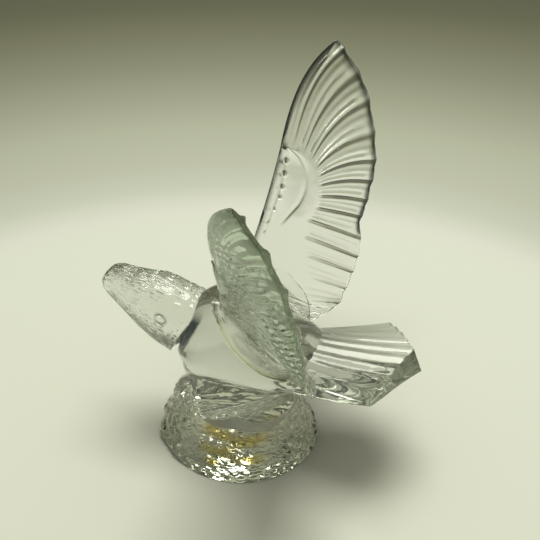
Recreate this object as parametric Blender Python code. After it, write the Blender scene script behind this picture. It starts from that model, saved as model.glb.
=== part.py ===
"""Crystal eagle with raised wings on a round rock base, pressed and fused as one piece of clear glass.

The bird faces -Y, its left side is +X, and the origin is on the ground under the middle of the base.
"""

import math

import bmesh
import bpy
from mathutils import Vector

MM = 0.001

# Rock base
BASE_RADIUS = 36.3 * MM
BASE_HEIGHT = 22.0 * MM
ROCK_RISE = 9.0 * MM
ROCK_CRAG = 1.5 * MM
ROCK_LUMP = 1.5 * MM
ROCK_TOP_RADIUS = 26.5 * MM
ROCK_OVERHANG = 4.5 * MM
ROCK_ROWS = 4
ROCKS_AROUND = 13

# Figure, from the beak to the end of the tail
FIGURE_LENGTH = 146.0 * MM
HEAD_RADIUS = 16.0 * MM
PLUMAGE_GROOVE = 0.5 * MM
EYE_LENGTH = 5.4 * MM
EYE_HEIGHT = 3.2 * MM
BROW_RISE = 1.2 * MM
MOUTH_DEPTH = 0.9 * MM

# Wings
WING_LENGTH = 123.5 * MM
WING_CHORD = 56.4 * MM
WING_THICKNESS = 8.0 * MM
WING_WRIST_THICKNESS = 5.0 * MM
WING_EDGE = 1.8 * MM
WING_CAMBER = 13.0 * MM
WING_TIP_CURL = 8.7 * MM
WING_BOW = 4.3 * MM
FLUTE_DEPTH = 0.9 * MM
FEATHER_LEDGE = 0.8 * MM
FEATHER_SCALLOP = 0.8 * MM

# Tail
TAIL_SPREAD = 61.0 * MM
TAIL_END = 9.5 * MM
TAIL_EDGE = 1.2 * MM
TAIL_SIDE = 9.0 * MM
TAIL_FLUTES = 9
TAIL_FLUTE_DEPTH = 0.7 * MM

GLASS_COLOUR = (0.90, 0.94, 0.90, 1.0)
GLASS_ALPHA = 0.35
GLASS_ROUGHNESS = 0.02
WELD = 0.00001


def lerp(a, b, t):
    return a + (b - a) * t


def figure_point(x, y, z):
    """A place on the figure, in shares of its length, from the middle of the rock's top."""
    return Vector((x * FIGURE_LENGTH, y * FIGURE_LENGTH, BASE_HEIGHT + z * FIGURE_LENGTH))


def closed_object(name, rings, wrap):
    """A closed solid from rows of points: rings that wrap get two caps, sheets come as one loop a row."""
    mesh = bmesh.new()
    rows = [[mesh.verts.new(point) for point in ring] for ring in rings]
    count = len(rows[0])
    for low, high in zip(rows, rows[1:]):
        for i in range(count if wrap else count - 1):
            j = (i + 1) % count
            mesh.faces.new((low[i], low[j], high[j], high[i]))
    mesh.faces.new(rows[0])
    mesh.faces.new(rows[-1])
    bmesh.ops.remove_doubles(mesh, verts=mesh.verts, dist=WELD)
    bmesh.ops.dissolve_degenerate(mesh, dist=WELD, edges=mesh.edges)
    bmesh.ops.triangulate(mesh, faces=mesh.faces)
    bmesh.ops.recalc_face_normals(mesh, faces=mesh.faces)
    data = bpy.data.meshes.new(name)
    mesh.to_mesh(data)
    mesh.free()
    data.shade_smooth()
    data.set_sharp_from_angle(angle=math.radians(35))
    solid = bpy.data.objects.new(name, data)
    bpy.context.scene.collection.objects.link(solid)
    return solid


def glass():
    """Clear lead crystal with a faint green cast."""
    material = bpy.data.materials.new("clear_crystal")
    material.use_nodes = True
    shader = material.node_tree.nodes["Principled BSDF"]
    shader.inputs["Base Color"].default_value = GLASS_COLOUR
    shader.inputs["Roughness"].default_value = GLASS_ROUGHNESS
    shader.inputs["Metallic"].default_value = 0.0
    shader.inputs["Transmission Weight"].default_value = 1.0
    shader.inputs["IOR"].default_value = 1.52
    shader.inputs["Alpha"].default_value = GLASS_ALPHA
    return material


# The rock: a low mound of flat lumps in staggered rows, higher under the breast than under the tail.
def rock_lump(angle, share):
    """How far a lump stands out of the mound, from 0 in the cracks to 1 in the middle."""
    row = share * ROCK_ROWS
    turn = angle / math.tau * ROCKS_AROUND + 0.5 * math.floor(row) + 0.17 * math.sin(3.0 * math.floor(row))
    size = 0.75 + 0.25 * math.sin(5.1 * math.floor(turn) + 2.3 * math.floor(row))
    across = abs(math.sin(math.pi * turn)) ** 0.6
    along = abs(math.sin(math.pi * row)) ** 0.6
    return size * across * along


def rock_base():
    columns = ROCKS_AROUND * 4
    shares = [0.0, 0.05] + [(k + 0.5) / (3.0 * ROCK_ROWS) for k in range(1, 3 * ROCK_ROWS)] + [1.0]
    rings = []
    for share in shares:
        ring = []
        for i in range(columns):
            angle = math.tau * i / columns
            front = max(0.0, -math.sin(angle))
            height = BASE_HEIGHT + ROCK_RISE * front ** 2 + ROCK_CRAG * math.sin(5.0 * angle + 1.2)
            radius = lerp(BASE_RADIUS, ROCK_TOP_RADIUS - 0.5 * ROCK_OVERHANG * front, share ** 1.35)
            radius += ROCK_OVERHANG * front ** 2 * min(1.0, 10.0 * share, 8.0 * (1.0 - share))
            if 0.0 < share < 1.0:
                radius += ROCK_LUMP * (rock_lump(angle, share) - 0.6)
            ring.append(Vector((radius * math.cos(angle), radius * math.sin(angle), height * share)))
        rings.append(ring)
    return closed_object("rock_base", rings, True)


# The torso: a plump body from the breast to the root of the tail, laid through ellipses across its length.
TORSO = (
    # y, z, half width, half height
    (-0.205, 0.215, 0.050, 0.085),
    (-0.180, 0.220, 0.085, 0.140),
    (-0.137, 0.228, 0.116, 0.170),
    (-0.062, 0.236, 0.137, 0.180),
    (0.034, 0.226, 0.144, 0.164),
    (0.130, 0.206, 0.137, 0.130),
    (0.219, 0.188, 0.122, 0.100),
    (0.270, 0.186, 0.080, 0.068),
)


def torso():
    around = 24
    rings = []
    for y, z, half_width, half_height in TORSO:
        turns = [math.tau * i / around for i in range(around)]
        rings.append([figure_point(half_width * math.cos(a), y, z + half_height * math.sin(a)) for a in turns])
    return closed_object("torso", rings, True)


# The breast and belly: a column that sinks into the rock.
BREAST = (
    # z, front y, back y, half width
    (-0.060, -0.150, 0.160, 0.140),
    (0.000, -0.155, 0.176, 0.138),
    (0.055, -0.172, 0.186, 0.134),
    (0.123, -0.196, 0.190, 0.130),
    (0.192, -0.192, 0.178, 0.115),
    (0.246, -0.150, 0.137, 0.080),
)


def breast():
    around = 24
    rings = []
    for z, front, back, half_width in BREAST:
        middle = 0.5 * (front + back)
        reach = 0.5 * (back - front)
        turns = [math.tau * i / around for i in range(around)]
        rings.append([figure_point(half_width * math.cos(a), middle + reach * math.sin(a), z) for a in turns])
    return closed_object("breast", rings, True)


# The legs: a fluted lock of long feathers on each flank, from the rock in front up to the root of the tail.
LEG_FRONT = (0.098, -0.135, -0.015)
LEG_BACK = (0.075, 0.190, 0.105)
LEG_HALF_WIDTH = 0.058
LEG_HALF_HEIGHT = 0.085
LEG_FLUTES = 7


def leg(side):
    around = LEG_FLUTES * 4
    stations = 7
    front = Vector(LEG_FRONT)
    back = Vector(LEG_BACK)
    rings = []
    for k in range(stations + 1):
        share = k / stations
        middle = front.lerp(back, share)
        swell = math.sin(math.pi * lerp(0.12, 0.95, share ** 0.8)) ** 0.7
        ring = []
        for i in range(around):
            a = math.tau * i / around
            flute = 1.0 + 0.10 * math.cos(LEG_FLUTES * a) * swell
            wide = LEG_HALF_WIDTH * swell * flute * math.cos(a)
            high = LEG_HALF_HEIGHT * swell * flute * math.sin(a)
            ring.append(figure_point(side * (middle.x + wide), middle.y, middle.z + high))
        rings.append(ring)
    return closed_object("leg_left" if side > 0 else "leg_right", rings, True)


# The head: held forward and up, with lengthwise plumage, a brow, a mouth line and a blunt hooked beak.
HEAD_BACK = (0.0, -0.150, 0.256)
HEAD_FRONT = (0.0, -0.437, 0.402)
HEAD_PROFILE = (
    # share of the way to the front, radius, narrowness across, fall of the beak in head radii
    (0.00, 0.70, 0.92, 0.00),
    (0.05, 0.98, 0.94, 0.00),
    (0.15, 1.03, 0.94, 0.00),
    (0.30, 1.00, 0.92, 0.00),
    (0.47, 0.91, 0.86, 0.00),
    (0.64, 0.79, 0.74, 0.00),
    (0.80, 0.65, 0.63, 0.00),
    (0.91, 0.54, 0.56, 0.00),
    (0.97, 0.38, 0.55, 0.04),
    (1.00, 0.18, 0.60, 0.09),
)
PLUMAGE_ROWS = 12
BROW_ANGLE = 50.0
BROW_SHARE = 0.48
BROW_WIDTH = 14.0
BROW_LENGTH = 0.14
MOUTH_ANGLE = -28.0
MOUTH_WIDTH = 8.0
MOUTH_SHARE = 0.40
MOUTH_FADE = 0.125
EYE_SHARE = 0.42
EYE_ANGLE = 32.0
EYE_SEAT = 0.93
EYE_NARROW = 0.88
EYE_BULGE = ((-1.2, 0.9), (0.0, 1.0), (0.9, 0.8), (1.3, 0.35))


def bump(value, middle, width):
    """A soft hump that is 1 in its middle and falls away over its width."""
    return math.exp(-((value - middle) / width) ** 2)


def head_frame():
    back = figure_point(*HEAD_BACK)
    front = figure_point(*HEAD_FRONT)
    along = (front - back).normalized()
    across = Vector((1.0, 0.0, 0.0))
    up = across.cross(along)
    if up.z < 0.0:
        up = -up
    return back, front, along, across, up


def head_radius(share, size, angle):
    """The head's radius at an angle, with grooves between the plumes, the brow and the mouth line."""
    groove = PLUMAGE_GROOVE * math.sin(math.pi * min(1.0, share * 1.05))
    rise = math.degrees(math.asin(math.sin(angle)))
    brow = BROW_RISE * bump(rise, BROW_ANGLE, BROW_WIDTH) * bump(share, BROW_SHARE, BROW_LENGTH)
    open_here = min(1.0, max(0.0, (share - MOUTH_SHARE) / MOUTH_FADE))
    mouth = MOUTH_DEPTH * bump(rise, MOUTH_ANGLE, MOUTH_WIDTH) * open_here
    return HEAD_RADIUS * size - groove * (0.5 - 0.5 * math.cos(PLUMAGE_ROWS * angle)) + brow - mouth * size


def head():
    back, front, along, across, up = head_frame()
    around = PLUMAGE_ROWS * 3
    rings = []
    for share, size, narrow, fall in HEAD_PROFILE:
        middle = back.lerp(front, share) - up * (fall * HEAD_RADIUS)
        ring = []
        for i in range(around):
            a = math.tau * i / around
            radius = head_radius(share, size, a)
            ring.append(middle + across * (radius * narrow * math.cos(a)) + up * (radius * math.sin(a)))
        rings.append(ring)
    return closed_object("head", rings, True)


def eye(side):
    """An oval bead on the side of the head, its long way along the head."""
    back, front, along, across, up = head_frame()
    rise = math.radians(EYE_ANGLE)
    out = across * (side * EYE_NARROW * math.cos(rise)) + up * math.sin(rise)
    middle = back.lerp(front, EYE_SHARE) + out * (HEAD_RADIUS * EYE_SEAT)
    normal = out.normalized()
    tall = normal.cross(along).normalized()
    around = 10
    rings = []
    for lift, spread in EYE_BULGE:
        turns = [math.tau * i / around for i in range(around)]
        rings.append([
            middle
            + normal * (lift * MM)
            + along * (0.5 * EYE_LENGTH * spread * math.cos(a))
            + tall * (0.5 * EYE_HEIGHT * spread * math.sin(a))
            for a in turns
        ])
    return closed_object("eye_left" if side > 0 else "eye_right", rings, True)


# The wings: a smooth covert patch inside a ledge, and long fluted feathers that fan out from the wrist.
WING_ROOT = (0.111, 0.086, 0.326)
WING_SPAN_WAY = (0.643, 0.053, 0.764)
WING_CHORD_WAY = (0.359, 0.861, -0.362)
LEADING_CHORD = -0.343
WRIST = (0.551, -0.320)
FEATHERS = (
    # one line between feathers: span and chord at the ledge, then span and chord at the feather's end
    ((-0.081, 0.100), (-0.081, 0.280)),
    ((-0.010, 0.225), (0.013, 0.516)),
    ((0.081, 0.204), (0.077, 0.569)),
    ((0.162, 0.143), (0.151, 0.610)),
    ((0.231, 0.071), (0.216, 0.633)),
    ((0.300, 0.051), (0.291, 0.643)),
    ((0.356, 0.112), (0.377, 0.594)),
    ((0.405, 0.131), (0.447, 0.616)),
    ((0.445, 0.108), (0.526, 0.622)),
    ((0.478, 0.082), (0.606, 0.618)),
    ((0.506, 0.051), (0.691, 0.559)),
    ((0.529, -0.004), (0.802, 0.437)),
    ((0.545, -0.082), (0.885, 0.308)),
    ((0.555, -0.173), (0.960, 0.114)),
    (WRIST, (1.000, 0.000)),
)
STRAIGHT_FEATHERS = 6
OUTER_BEND = (0.059, -0.179)
COVERT_PROFILE = ((0.0, 0.35), (0.12, 0.75), (0.45, 1.0), (0.94, 0.78))
LEDGE_SHARE = 0.78
PATCH_SWELL = 0.12
WRIST_FEATHERS = 3.5
WRIST_ROUND = 0.02
FEATHER_STATIONS = (0.0, 0.2, 0.45, 0.7, 0.9, 1.0)
COLUMNS_A_FEATHER = 4


def wing_line(u, pick):
    """The ledge (pick 0) or the feather ends (pick 1) at feather u, in shares of span and chord."""
    k = min(int(u), len(FEATHERS) - 2)
    return Vector(FEATHERS[k][pick]).lerp(Vector(FEATHERS[k + 1][pick]), u - k)


def wing_frame(side):
    root = figure_point(side * WING_ROOT[0], WING_ROOT[1], WING_ROOT[2])
    span = Vector((side * WING_SPAN_WAY[0], WING_SPAN_WAY[1], WING_SPAN_WAY[2])).normalized()
    chord = Vector((side * WING_CHORD_WAY[0], WING_CHORD_WAY[1], WING_CHORD_WAY[2]))
    chord = (chord - span * chord.dot(span)).normalized()
    inner = span.cross(chord) * side
    return root, span, chord, inner


def wing_middle(frame, place):
    """A point of the wing's middle sheet, hollowed towards the trailing edge."""
    root, span, chord, inner = frame
    out = min(1.0, max(0.0, place.x))
    hollow = math.sin(math.pi * out)
    behind = max(0.0, place.y - LEADING_CHORD)
    lift = WING_TIP_CURL * out ** 2 - WING_CAMBER * hollow * behind ** 1.3
    back = place.y * WING_CHORD + WING_BOW * hollow
    return root + span * (place.x * WING_LENGTH) + chord * back + inner * lift


def covert_rows(u, ledge):
    """Places and half thicknesses of the smooth patch, from the rounded leading edge to the ledge."""
    along = min(1.0, max(0.0, ledge.x / WRIST[0]))
    lead = Vector((ledge.x, lerp(LEADING_CHORD, WRIST[1], along)))
    if (ledge - lead).length < WRIST_ROUND:
        lead = Vector(WRIST)
    full = 0.5 * lerp(WING_THICKNESS, WING_WRIST_THICKNESS, along)
    swell = min(1.0, (ledge - lead).length / PATCH_SWELL)
    swell *= min(1.0, max(0.0, (len(FEATHERS) - 2 - u) / WRIST_FEATHERS))
    foot = LEDGE_SHARE * full - 0.5 * FEATHER_LEDGE
    rows = [(lead.lerp(ledge, share), lerp(foot, full * thick, swell)) for share, thick in COVERT_PROFILE]
    return rows, foot


def feather_rows(u, ledge, foot):
    """Places and half thicknesses along one line of the fan, from the ledge to the feather's end."""
    feather = u % 1.0
    ridge = 0.5 - 0.5 * math.cos(math.tau * feather)
    end = wing_line(u, 1)
    bend = max(0.0, (u - STRAIGHT_FEATHERS) / (len(FEATHERS) - 1 - STRAIGHT_FEATHERS))
    control = ledge.lerp(end, 0.5) + Vector(OUTER_BEND) * bend
    outward = Vector(((end.x - control.x) * WING_LENGTH, (end.y - control.y) * WING_CHORD)).normalized()
    scallop = FEATHER_SCALLOP * math.sin(math.pi * feather)
    tip = end + Vector((outward.x * scallop / WING_LENGTH, outward.y * scallop / WING_CHORD))
    rows = []
    for share in FEATHER_STATIONS:
        place = ledge.lerp(control, share).lerp(control.lerp(tip, share), share)
        rise = min(1.0, 0.3 + 4.0 * share, 0.4 + 4.0 * (1.0 - share))
        flute = 0.5 * FLUTE_DEPTH * (ridge - 0.5) * rise
        rows.append((place, lerp(foot, 0.5 * WING_EDGE, share ** 0.7) + flute))
    return rows


def wing_rows(u):
    """The wing at feather u: the covert patch and then the feather."""
    ledge = wing_line(u, 0)
    patch, foot = covert_rows(u, ledge)
    return patch + feather_rows(u, ledge, foot)


def wing(side):
    """Each row of points runs out along the inner face and back along the outer one."""
    frame = wing_frame(side)
    inner = frame[3]
    steps = (len(FEATHERS) - 1) * COLUMNS_A_FEATHER
    rings = []
    for k in range(steps + 1):
        rows = wing_rows(k / COLUMNS_A_FEATHER)
        upper = [wing_middle(frame, place) + inner * half for place, half in rows]
        lower = [wing_middle(frame, place) - inner * half for place, half in rows]
        rings.append(upper + lower[::-1])
    return closed_object("wing_left" if side > 0 else "wing_right", rings, True)


# The wing roots: a smooth gusset on each flank, from the shoulder to the hip, where the wing grows out.
ROOT_LINE = (
    # its edge on the flank, from the shoulder to the hip
    (0.116, -0.078, 0.416),
    (0.140, -0.042, 0.378),
    (0.151, -0.008, 0.325),
    (0.156, 0.024, 0.281),
    (0.157, 0.070, 0.240),
    (0.154, 0.120, 0.208),
    (0.144, 0.192, 0.190),
)
ROOT_ON_WING = ((0.075, -0.300), (0.110, -0.020), (0.010, 0.330))
ROOT_DEPTH = 9.0 * MM
ROOT_STEP = 3.0 * MM
ROOT_BULGE = 1.5 * MM
ROOT_SINK = 0.4 * MM
ROOT_ROUND = (0.40, 0.88, 1.0, 1.0, 1.0, 0.90, 0.55)
ROOT_COLUMNS = 4


def wing_root(side):
    """Each ring runs from the flank up to the wing's outer face and back inside the body."""
    frame = wing_frame(side)
    inner = frame[3]
    outward = Vector((side, 0.0, 0.0))
    start, middle, end = (Vector(place) for place in ROOT_ON_WING)
    rings = []
    for k, (x, y, z) in enumerate(ROOT_LINE):
        share = k / (len(ROOT_LINE) - 1)
        flank = figure_point(side * x, y, z)
        place = start.lerp(middle, 2.0 * share) if share < 0.5 else middle.lerp(end, 2.0 * share - 1.0)
        sheet = wing_middle(frame, place)
        half = 0.5 * lerp(WING_THICKNESS, WING_WRIST_THICKNESS, place.x / WRIST[0])
        under = sheet - inner * (half - ROOT_SINK)
        steps = [m / ROOT_COLUMNS for m in range(ROOT_COLUMNS + 1)]
        ring = [flank.lerp(under, t) + outward * (ROOT_BULGE * math.sin(math.pi * t)) for t in steps]
        ring += [under.lerp(sheet, 0.8), flank - outward * ROOT_DEPTH, flank - outward * ROOT_STEP]
        core = flank.lerp(sheet, 0.5) - outward * (0.5 * ROOT_DEPTH)
        rings.append([core.lerp(point, ROOT_ROUND[k]) for point in ring])
    return closed_object("wing_root_left" if side > 0 else "wing_root_right", rings, True)


# The tail: a fluted fan with an arched top and a deep keel, cut off to a blunt point behind.
TAIL_ROOT_Y = 0.150
TAIL_CORNER_Y = 0.434
TAIL_TIP_Y = 0.535
TAIL_TOP_Z = 0.272
TAIL_ARCH = 0.057
TAIL_ROOT_HALF = 0.098
TAIL_KEEL = 0.235
TAIL_END_SLOPE = 0.030
TAIL_SAG = 0.010


def tail():
    columns = TAIL_FLUTES * 4
    half = 0.5 * TAIL_SPREAD / FIGURE_LENGTH
    stations = 7
    rings = []
    for k in range(columns + 1):
        t = lerp(-1.0, 1.0, k / columns)
        flute = 0.5 - 0.5 * math.cos(math.tau * TAIL_FLUTES * k / columns)
        inside = 1.0 - abs(t)
        upper = []
        lower = []
        for m in range(stations + 1):
            share = m / stations
            width = lerp(TAIL_ROOT_HALF, half, share ** 0.85)
            end = lerp(TAIL_CORNER_Y, TAIL_TIP_Y, inside ** 0.95)
            y = lerp(TAIL_ROOT_Y, end, share)
            top = TAIL_TOP_Z - TAIL_ARCH * t * t - TAIL_SAG * math.sin(math.pi * share)
            edge = lerp(TAIL_SIDE, TAIL_EDGE, share) / FIGURE_LENGTH
            deep = lerp(TAIL_KEEL, (TAIL_END + TAIL_EDGE) / FIGURE_LENGTH, share ** 1.1)
            thick = edge + (deep - edge) * inside ** 0.6
            rise = TAIL_FLUTE_DEPTH * flute * min(1.0, share * 1.6)
            upper.append(figure_point(width * t, y, top) + Vector((0.0, 0.0, rise)))
            lower.append(figure_point(width * t, y + TAIL_END_SLOPE * inside * share ** 4, top - thick))
        rings.append(upper + lower[::-1])
    return closed_object("tail", rings, True)


def union(body, forms):
    for form in forms:
        join = body.modifiers.new("join_" + form.name, "BOOLEAN")
        join.operation = "UNION"
        join.solver = "EXACT"
        join.object = form
        form.hide_render = True
        form.display_type = "WIRE"


for old in list(bpy.data.objects):
    bpy.data.objects.remove(old, do_unlink=True)

eagle = rock_base()
eagle.name = "crystal_eagle"
eagle.data.materials.append(glass())
union(eagle, [breast(), torso(), leg(1), leg(-1), head(), eye(1), eye(-1)])
union(eagle, [wing_root(1), wing_root(-1), wing(1), wing(-1), tail()])
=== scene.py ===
"""The crystal eagle: one casting of clear glass with raised fluted wings, on its round rock base."""

import math

import bmesh
import bpy
import numpy as np
from mathutils import Matrix, Vector


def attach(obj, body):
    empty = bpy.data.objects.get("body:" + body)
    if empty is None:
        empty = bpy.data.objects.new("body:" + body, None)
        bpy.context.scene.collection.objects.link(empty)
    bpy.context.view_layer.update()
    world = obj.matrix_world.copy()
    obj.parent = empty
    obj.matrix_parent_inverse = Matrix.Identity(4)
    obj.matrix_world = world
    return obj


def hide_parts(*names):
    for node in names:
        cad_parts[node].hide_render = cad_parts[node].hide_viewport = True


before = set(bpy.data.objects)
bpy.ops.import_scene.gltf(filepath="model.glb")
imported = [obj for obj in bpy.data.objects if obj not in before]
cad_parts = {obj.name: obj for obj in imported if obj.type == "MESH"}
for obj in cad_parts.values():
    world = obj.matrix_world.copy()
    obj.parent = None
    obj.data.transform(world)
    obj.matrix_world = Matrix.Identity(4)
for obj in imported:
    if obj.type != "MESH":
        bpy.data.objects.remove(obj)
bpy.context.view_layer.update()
scene = bpy.context.scene


# The camera: a little above the bird's left flank, where the photograph was taken from. It looks across
# the near wing to the inner face of the far one.
CAMERA_LENS = 56.67
CAMERA_PLACE = Vector((0.3055, 0.0887, 0.2828))
CAMERA_FORWARD = Vector((-0.8318, -0.2043, -0.5162)).normalized()
CAMERA_RIGHT = Vector((-0.2385, 0.9711, 0.0)).normalized()
CAMERA_NEAREST = 0.01
CAMERA_FARTHEST = 20.0

camera_data = bpy.data.cameras.new("camera")
camera_data.lens = CAMERA_LENS
camera_data.clip_start = CAMERA_NEAREST
camera_data.clip_end = CAMERA_FARTHEST
camera = bpy.data.objects.new("camera", camera_data)
scene.collection.objects.link(camera)
camera_up = CAMERA_RIGHT.cross(CAMERA_FORWARD)
camera_turn = Matrix((CAMERA_RIGHT, camera_up, -CAMERA_FORWARD)).transposed().to_4x4()
camera.matrix_world = Matrix.Translation(CAMERA_PLACE) @ camera_turn
scene.camera = camera


# The rock: a low mound of clear glass under the bird, pressed in the same mould. It is rough all round,
# with big flat lumps, small scales over them and a crag under the breast, and has amber patches in its
# left side. Sizes here and below are in millimetres.
MM = 0.001
BASE_RADIUS = 36.3
BASE_HEIGHT = 22.0
ROCK_RISE = 9.0
ROCK_CRAG = 1.5
CRAG_WAVES = 5.0
CRAG_START = 1.2
ROCK_TOP_RADIUS = 26.5
ROCK_DRAFT = 1.35
ROCK_OVERHANG = 4.5
CROWN_RISE = 3.6
CROWN_WIDTH = 0.55
CROWN_ROUND = 0.9
ROCK_LUMP = 1.6
ROCK_LUMP_LEVEL = 0.6
ROCK_ROWS = 4
ROCKS_AROUND = 13
SCALE_DEPTH = 1.3
SCALE_LEVEL = 0.5
SCALE_ROWS = 9
SCALES_AROUND = 40
SCALE_SWAY = (
    # waves round the base, rise in rows, start
    (7.0, 0.25, 0.0),
    (13.0, 0.20, 1.0),
)
LUMP_ROUND = 0.6
ROCK_STEPS = 60
ROCK_TURNS = 250
CROWN_STEPS = 9
ROCK_TINT = (1.0, 0.985, 0.86)
ROCK_TINT_TOP = (26.0, 20.0)
AMBER = (1.0, 0.69, 0.13)
AMBER_REACH = (20.0, 26.0)
AMBER_PATCHES = (
    # turn round the base in degrees, height, half width, half height
    (-8.0, 20.0, 9.0, 2.6),
    (-7.0, 13.0, 9.0, 2.6),
    (21.0, 17.5, 10.0, 2.4),
    (20.0, 10.0, 8.0, 1.7),
    (50.0, 24.0, 3.0, 2.0),
    (-10.0, 7.5, 4.0, 2.0),
)


def lerp(a, b, t):
    return a + (b - a) * t


def smooth(low, high, value):
    """A soft step from 0 at low to 1 at high."""
    t = np.clip((value - low) / (high - low), 0.0, 1.0)
    return t * t * (3.0 - 2.0 * t)


def turns(count):
    """Angles evenly spaced round a full turn."""
    return np.linspace(0.0, math.tau, count, endpoint=False)


def grid(start, end, steps, around):
    """Every pair of a place from start to end and an angle round it."""
    return np.meshgrid(np.linspace(start, end, steps), turns(around), indexing="ij")


def form(name, rings):
    """A closed solid over rings of points in millimetres, each ring a loop, with a fan at each end."""
    count, around = rings.shape[:2]
    points = np.concatenate([rings.reshape(-1, 3), rings[:1].mean(axis=1), rings[-1:].mean(axis=1)]) * MM
    i = np.arange(around)
    j = (i + 1) % around
    faces = []
    for row in range(count - 1):
        low = row * around
        high = low + around
        faces += np.stack([low + i, low + j, high + j, high + i], axis=1).tolist()
    last = (count - 1) * around
    faces += np.stack([j, i, np.full(around, count * around)], axis=1).tolist()
    faces += np.stack([last + i, last + j, np.full(around, count * around + 1)], axis=1).tolist()
    data = bpy.data.meshes.new(name)
    data.from_pydata(points.tolist(), [], faces)
    mesh = bmesh.new()
    mesh.from_mesh(data)
    bmesh.ops.triangulate(mesh, faces=mesh.faces)
    bmesh.ops.recalc_face_normals(mesh, faces=mesh.faces)
    mesh.to_mesh(data)
    mesh.free()
    solid = bpy.data.objects.new(name, data)
    scene.collection.objects.link(solid)
    return solid


def stain_and_shade(tint, colour, share):
    """Colours the glass, for stains and for painted shade: not at all where share is 0, fully where it is 1.
    """
    tint *= lerp(np.ones(3), np.array(colour), share[:, None])


def lumps(turn, row, seed):
    """Staggered rows of rounded lumps: 0 in the cracks between them, up to 1 in their middles."""
    level = np.floor(row)
    shifted = turn + 0.5 * level + 0.17 * np.sin(3.0 * level)
    size = 0.75 + 0.25 * np.sin(5.1 * np.floor(shifted) + 2.3 * level + seed)
    return size * np.abs(np.sin(np.pi * shifted) * np.sin(np.pi * row)) ** LUMP_ROUND


def rock():
    share, angle = grid(0.0, 1.0, ROCK_STEPS, ROCK_TURNS)
    front = np.maximum(0.0, -np.sin(angle))
    height = BASE_HEIGHT + ROCK_RISE * front ** 2 + ROCK_CRAG * np.sin(CRAG_WAVES * angle + CRAG_START)
    radius = lerp(BASE_RADIUS, ROCK_TOP_RADIUS - 0.5 * ROCK_OVERHANG * front, share ** ROCK_DRAFT)
    hang = np.minimum(1.0, np.minimum(10.0 * share, 8.0 * (1.0 - share)))
    radius += ROCK_OVERHANG * front ** 2 * hang
    big = lumps(angle / math.tau * ROCKS_AROUND, share * ROCK_ROWS, 0.0) - ROCK_LUMP_LEVEL
    sway = sum(rise * np.sin(waves * angle + start) for waves, rise, start in SCALE_SWAY)
    small = lumps(angle / math.tau * SCALES_AROUND, share * SCALE_ROWS + sway, 1.0) - SCALE_LEVEL
    inside = smooth(0.0, 0.04, share) * smooth(1.0, 0.95, share)
    radius += inside * (ROCK_LUMP * big + SCALE_DEPTH * small)
    crown = np.linspace(0.1, 1.0, CROWN_STEPS)[:, None]
    radius = np.concatenate([radius, radius[-1] * (1.0 - CROWN_WIDTH * crown)])
    height = np.concatenate([height * share, height[-1] + CROWN_RISE * crown ** CROWN_ROUND])
    turn = angle[0]
    return form("rock", np.stack([radius * np.cos(turn), radius * np.sin(turn), height], axis=-1))


def tint_rock(points, tint):
    """The amber patches, and a faint warmth in the whole rock."""
    x, y, z = points.T
    turn = np.degrees(np.arctan2(y, x))
    reach = np.hypot(x, y)
    for middle, height, wide, high in AMBER_PATCHES:
        aside = np.radians(turn - middle) * reach
        near = np.exp(-(aside / wide) ** 4 - ((z - height) / high) ** 4)
        stain_and_shade(tint, AMBER, near * smooth(*AMBER_REACH, reach))
    stain_and_shade(tint, ROCK_TINT, smooth(*ROCK_TINT_TOP, z))


# The body: a plump torso on a breast that sinks into the rock, smooth and clear, with a fluted lock of
# long feathers down each flank. It is cast in one with the rock, so its creases are softly rounded.
FIGURE_LENGTH = 146.0
TORSO = (
    # y, height of the middle, half width, half height, in shares of the figure's length
    (-0.200, 0.208, 0.045, 0.070),
    (-0.175, 0.210, 0.080, 0.120),
    (-0.137, 0.216, 0.110, 0.146),
    (-0.062, 0.234, 0.137, 0.170),
    (0.034, 0.226, 0.144, 0.164),
    (0.130, 0.206, 0.137, 0.130),
    (0.219, 0.188, 0.122, 0.100),
    (0.270, 0.186, 0.080, 0.068),
)
TORSO_STEPS = 60
BREAST = (
    # height, front, back, half width
    (-0.060, -0.150, 0.160, 0.140),
    (0.000, -0.155, 0.176, 0.138),
    (0.055, -0.172, 0.186, 0.134),
    (0.123, -0.196, 0.190, 0.130),
    (0.192, -0.192, 0.178, 0.115),
    (0.246, -0.150, 0.137, 0.080),
)
BREAST_STEPS = 50
BODY_TURNS = 72
LEG_FRONT = (0.098, -0.135, -0.030)
LEG_BACK = (0.075, 0.190, 0.105)
LEG_HALF_WIDTH = 0.058
LEG_HALF_HEIGHT = 0.062
LEG_ENDS = (0.12, 0.95)
LEG_FULLNESS = 0.7
LEG_FLUTES = 13
LEG_FLUTE_DEPTH = 0.09
LEG_STEPS = 44
LEG_TURNS = 128


def flowing(stations, shares):
    """Rows of numbers read off a smooth curve through the stations, whose first number is the share."""
    table = np.array(stations, dtype=float)
    knots = table[:, 0]
    slopes = np.gradient(table[:, 1:], knots, axis=0)
    k = np.clip(np.searchsorted(knots, shares, side="right") - 1, 0, len(knots) - 2)
    gap = (knots[k + 1] - knots[k])[..., None]
    t = (np.asarray(shares) - knots[k])[..., None] / gap
    start, end = table[k, 1:], table[k + 1, 1:]
    curve = (2 * t ** 3 - 3 * t ** 2 + 1) * start + (3 * t ** 2 - 2 * t ** 3) * end
    return curve + (t ** 3 - 2 * t ** 2 + t) * gap * slopes[k] + (t ** 3 - t ** 2) * gap * slopes[k + 1]


def figure_point(x, y, z):
    """A place on the figure, given in shares of its length, in millimetres from the ground."""
    place = np.stack(np.broadcast_arrays(x, y, z), axis=-1) * FIGURE_LENGTH
    return place + np.array((0.0, 0.0, BASE_HEIGHT))


def torso():
    y, angle = grid(TORSO[0][0], TORSO[-1][0], TORSO_STEPS, BODY_TURNS)
    middle, wide, high = np.moveaxis(flowing(TORSO, y), -1, 0)
    return form("torso", figure_point(wide * np.cos(angle), y, middle + high * np.sin(angle)))


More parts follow.
